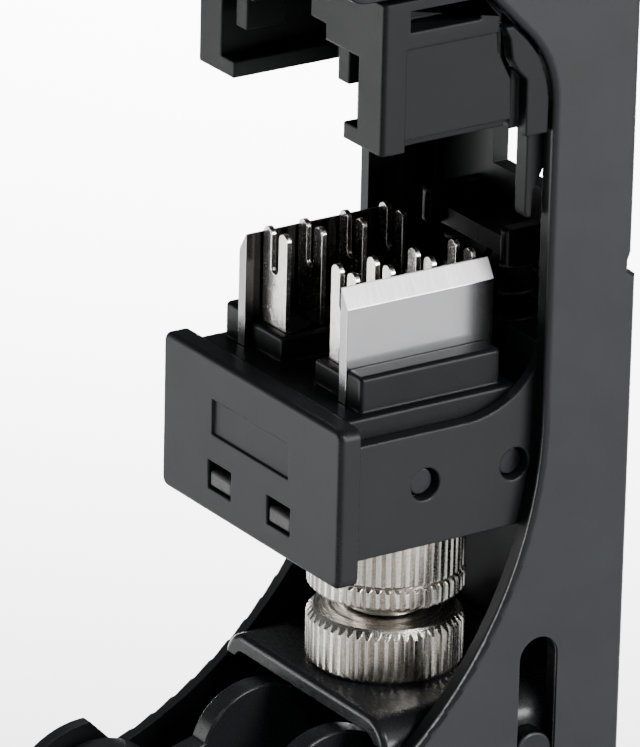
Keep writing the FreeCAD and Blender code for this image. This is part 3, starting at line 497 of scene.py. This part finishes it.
def slope(start, end, steps=7):
    """Profile points from start to end, so that grooves cut a chamfer cleanly."""
    shares = [number / steps for number in range(steps + 1)]
    return [tuple(a + (b - a) * share for a, b in zip(start, end)) for share in shares]


# --- Knurled nuts and the collar between them -----------------------------------------------------

BORE = 2.6
MOUTH = 0.35
NUT_CHAMFER = 0.8
RIM_GAP = 0.04
nut_low, nut_high = heights("lock_nut")
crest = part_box("lock_nut")[1].x / MM
chamfer_in = crest - 0.68
lock_profile = [(BORE, nut_high - 0.4), (BORE + MOUTH, nut_high - 0.02)]
lock_profile += turned_face(BORE + 0.5, chamfer_in - RIM_GAP, nut_high)
lock_profile += slope((chamfer_in, nut_high), (crest, nut_high - NUT_CHAMFER))
lock_profile += [(crest, (nut_low + nut_high) / 2)]
lock_profile += slope((crest, nut_low + GROOVE_DEPTH), (crest - GROOVE_DEPTH, nut_low))
lock_profile += [(BORE + MOUTH, nut_low), (BORE, nut_low + MOUTH)]
piece("lock_nut_fine", knurled("lock_nut_fine", lock_profile, crest), "lock_nut")

NECK = 3.6
NECK_GROOVE = 3.15
NECK_HEIGHT = 3.4
NECK_EDGE = 0.3
FLANGE_HEIGHT = 2.0
SPLIT_HALF = 0.06
SPLIT_DEPTH = 0.6
hub_low, hub_high = heights("adjuster_hub")
split = hub_low + FLANGE_HEIGHT
drum_top = hub_high - NECK_HEIGHT
hub_profile = [(BORE, hub_low + NECK_EDGE), (BORE, hub_high - NECK_EDGE), (BORE + NECK_EDGE, hub_high)]
hub_profile += [(NECK - NECK_EDGE, hub_high), (NECK, hub_high - NECK_EDGE), (NECK, hub_high - 0.5)]
hub_profile += [(NECK_GROOVE, hub_high - 0.55), (NECK_GROOVE, hub_high - 1.2)]
hub_profile += [(NECK, hub_high - 1.25), (NECK, drum_top + NECK_EDGE), (NECK + NECK_EDGE, drum_top)]
hub_profile += turned_face(NECK + 0.5, crest - 0.5, drum_top)
hub_profile += slope((crest - 0.5, drum_top), (crest - 0.1, drum_top - 0.4))
hub_profile += slope((crest - 0.1, split + 0.3), (crest - 0.35, split + 0.08), 3)
hub_profile += [(crest - SPLIT_DEPTH, split + SPLIT_HALF), (crest - SPLIT_DEPTH, split - SPLIT_HALF)]
hub_profile += slope((crest - 0.25, split - SPLIT_HALF), (crest, split - 0.3), 3)
hub_profile += slope((crest, hub_low + MOUTH), (crest - MOUTH, hub_low))
hub_profile += [(BORE + NECK_EDGE, hub_low)]
piece("adjuster_hub_fine", knurled("adjuster_hub_fine", hub_profile, crest), "adjuster_hub")

CLEARANCE = 0.05
WASHER_SECTION = [(2.66, -0.88), (3.42, -0.88), (3.54, -0.78), (3.54, -0.62), (3.42, -0.5),
                  (2.95, -0.46), (2.92, -0.3), (3.1, -0.22), (3.26, 0.02), (3.3, 0.3), (3.24, 0.6),
                  (3.05, 0.82), (2.66, 0.9)]
WASHER_MIDDLE = 0.95
WASHER_PITCH = 0.1
washer_mesh = coil("lock_washer_fine", WASHER_SECTION, heights("lock_washer")[0] + WASHER_MIDDLE,
                   WASHER_PITCH, turns=0.98, steps=130, start=50)
washer = piece("lock_washer_fine", washer_mesh, "lock_washer")
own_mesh(washer)

# --- Springs and softened edges -------------------------------------------------------------------


def return_spring(node):
    """The CAD spring, short enough for the highest height setting."""
    low, high = heights(node)
    length = high - low - travel["height_adjust"][1] / MM - CLEARANCE
    mesh = frame["nodes"][node].data.copy()
    for corner in mesh.vertices:
        corner.co.z = high * MM - (high * MM - corner.co.z) * length / (high - low)
    spring = piece(node + "_fine", mesh, node)
    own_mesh(spring)


return_spring("return_spring_right")
return_spring("return_spring_left")

STAMPED_EDGE = 0.05
EDGES = {"carriage": 0.12, "jack_holder": 0.12, "holder_bracket": 0.12, "die_block": 0.12,
         "lever_frame": 0.16, "slide_block": 0.12, "pusher_plate": 0.1, "stud": 0.08}
for node in frame["nodes"]:
    if node in EDGES:
        softened(node, EDGES[node])
    elif node.startswith(("blade", "fork")):
        softened(node, STAMPED_EDGE)

# --- Camera, floor and light ----------------------------------------------------------------------

AZIMUTH = math.radians(56.25)
ELEVATION = math.radians(21.62)
ROLL = math.radians(-1.32)
AIM = Vector((35.62, -31.2, 153.01)) * MM
DISTANCE = 639.6 * MM
SENSOR = 36
LENS = 385.54
CLIP_NEAR = 0.05
CLIP_FAR = 20
FLOOR_REACH = 6
FLOOR_HEIGHT = -0.0004


def place_camera():
    """Looks at AIM from AZIMUTH (from the front, towards +X) and ELEVATION, with a slight roll."""
    back = Vector((math.sin(AZIMUTH) * math.cos(ELEVATION), -math.cos(AZIMUTH) * math.cos(ELEVATION),
                   math.sin(ELEVATION)))
    level = Vector((math.cos(AZIMUTH), math.sin(AZIMUTH), 0))
    upright = back.cross(level)
    right = level * math.cos(ROLL) - upright * math.sin(ROLL)
    up = level * math.sin(ROLL) + upright * math.cos(ROLL)
    data = bpy.data.cameras.new("camera")
    data.sensor_width = SENSOR
    data.lens = LENS
    data.clip_start = CLIP_NEAR
    data.clip_end = CLIP_FAR
    camera = bpy.data.objects.new("camera", data)
    turned = Matrix((right, up, back)).transposed().to_4x4()
    camera.matrix_world = Matrix.Translation(AIM + back * DISTANCE) @ turned
    bpy.context.scene.collection.objects.link(camera)
    bpy.context.scene.camera = camera


def lay_floor():
    """A plain pale floor, just under the foot."""
    mesh = bpy.data.meshes.new("floor")
    corners = [(x * FLOOR_REACH, y * FLOOR_REACH, FLOOR_HEIGHT)
               for x, y in ((-1, -1), (1, -1), (1, 1), (-1, 1))]
    mesh.from_pydata(corners, [], [(0, 1, 2, 3)])
    floor = bpy.data.objects.new("floor", mesh)
    bpy.context.scene.collection.objects.link(floor)
    paper = Finish("pale_floor")
    colour = paper.mix(paper.noise(paper.place(), 3.0), grey(0.86), grey(0.9))
    mesh.materials.append(paper.close(Base_Color=colour, Roughness=0.75))


def light_world():
    """A faint, slightly cool light from all round."""
    world = bpy.data.worlds.new("studio")
    bpy.context.scene.world = world
    world.use_nodes = True
    background = world.node_tree.nodes["Background"]
    background.inputs["Color"].default_value = (0.95, 0.97, 1.0, 1)
    background.inputs["Strength"].default_value = 0.1


def softbox(name, place, aim, width, height, power, beam=180):
    """A rectangular studio light that faces a point, with its beam's full angle in degrees."""
    data = bpy.data.lights.new(name, "AREA")
    data.shape = "RECTANGLE"
    data.size = width
    data.size_y = height
    data.energy = power
    data.spread = math.radians(beam)
    lamp = bpy.data.objects.new(name, data)
    facing = (Vector(place) - Vector(aim)).normalized()
    turned = facing.to_track_quat("Z", "Y").to_matrix().to_4x4()
    lamp.matrix_world = Matrix.Translation(Vector(place)) @ turned
    bpy.context.scene.collection.objects.link(lamp)


place_camera()
lay_floor()
light_world()
softbox("high_right", (0.85, 0.2, 0.7), (0, 0, 0.14), 0.32, 0.32, 11)
softbox("low_right", (1.1, 0.6, 0.22), (0, 0, 0.13), 0.5, 0.4, 19)
softbox("floor_front", (-0.2, -0.34, 0.015), (0, -0.014, 0.14), 0.3, 0.2, 2.2)
softbox("low_left", (-0.9, -0.8, 0.25), (0, 0, 0.13), 0.4, 0.4, 2.2)
softbox("over_camera", (0.6, -0.47, 0.78), (0, 0, 0.12), 0.09, 0.09, 1.2)
softbox("floor_back", (-0.5, 0.34, 0.55), (-0.42, 0.28, 0), 0.3, 0.3, 9, beam=75)
